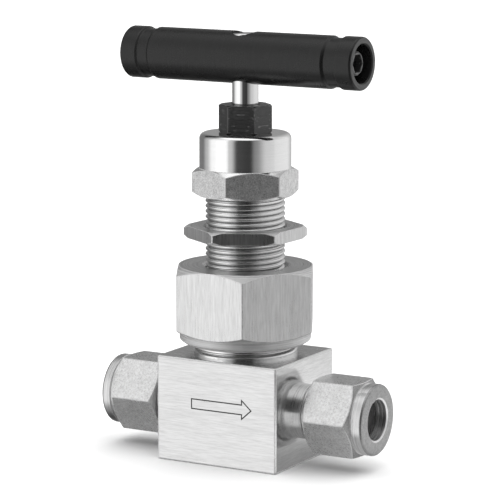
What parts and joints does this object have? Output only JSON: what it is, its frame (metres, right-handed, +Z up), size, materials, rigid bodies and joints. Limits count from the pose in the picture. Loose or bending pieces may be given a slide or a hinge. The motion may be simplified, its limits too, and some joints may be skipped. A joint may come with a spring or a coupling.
{
  "type": "needle valve",
  "caption": "Straight needle valve with a block body, compression tube ends, union-nut bonnet with panel nut, packing bolt and black bar handle.",
  "frame": {"origin": "centre of the body block's base, on the stem axis", "axes": "+Z up the stem axis, +X along the flow from inlet to outlet, the marked face looks to -Y"},
  "size_m": [0.071, 0.0324, 0.1016],
  "materials": {
    "body_steel": "fine ground",
    "nut_steel": "drawn hex bar",
    "thread_steel": "turned",
    "polished_steel": "polished",
    "stem_steel": "ground and polished",
    "ferrule_steel": "turned",
    "black_steel": "black oxide",
    "black_anodised": "black anodised, satin",
    "fluoropolymer": "matte",
    "adapter_polymer": "matte",
    "rubber": "matte"
  },
  "bodies": {
    "valve": {"valve_body": "body_steel", "union_nut": "nut_steel", "bonnet": "thread_steel", "bonnet_gasket": "fluoropolymer", "bonnet_cap": "polished_steel", "packing_bolt": "black_steel", "stem_wiper": "rubber", "packing_gland": "thread_steel", "upper_packing_adapter": "adapter_polymer", "upper_chevron_ring": "fluoropolymer", "middle_chevron_ring": "fluoropolymer", "lower_chevron_ring": "fluoropolymer", "lower_packing_adapter": "adapter_polymer"},
    "needle": {"lower_stem": "stem_steel"},
    "handle": {"upper_stem": "stem_steel", "handle_bar": "black_anodised", "handle_set_screw": "black_steel"},
    "panel_nut": {"panel_nut": "nut_steel"},
    "left_ferrules": {"left_front_ferrule": "ferrule_steel", "left_back_ferrule": "ferrule_steel"},
    "left_nut": {"left_nut": "nut_steel"},
    "right_ferrules": {"right_front_ferrule": "ferrule_steel", "right_back_ferrule": "ferrule_steel"},
    "right_nut": {"right_nut": "nut_steel"}
  },
  "joints": [
    {"name": "stem_rise", "type": "slide", "parent": "valve", "child": "needle", "axis": [0, 0, 1], "range_m": [-0.00414, 0]},
    {"name": "handle_turn", "type": "hinge", "parent": "needle", "child": "handle", "pos_m": [0, 0, 0.0954], "axis": [0, 0, 1], "range_deg": [-1170, 0]},
    {"name": "panel_nut_travel", "type": "slide", "parent": "valve", "child": "panel_nut", "axis": [0, 0, 1], "range_m": [-0.0064, 0.0072]},
    {"name": "left_nut_travel", "type": "slide", "parent": "valve", "child": "left_ferrules", "axis": [-1, 0, 0], "range_m": [0, 0.00954]},
    {"name": "left_nut_turn", "type": "hinge", "parent": "left_ferrules", "child": "left_nut", "pos_m": [-0.028, 0, 0.0125], "axis": [-1, 0, 0], "range_deg": [0, 2700]},
    {"name": "right_nut_travel", "type": "slide", "parent": "valve", "child": "right_ferrules", "axis": [1, 0, 0], "range_m": [0, 0.00954]},
    {"name": "right_nut_turn", "type": "hinge", "parent": "right_ferrules", "child": "right_nut", "pos_m": [0.028, 0, 0.0125], "axis": [1, 0, 0], "range_deg": [0, 2700]}
  ],
  "couplings": [
    {"joint": "stem_rise", "follows": "handle_turn", "m_per_rad": 0.00020213},
    {"joint": "left_nut_travel", "follows": "left_nut_turn", "m_per_rad": 0.00020213},
    {"joint": "right_nut_travel", "follows": "right_nut_turn", "m_per_rad": 0.00020213}
  ]
}
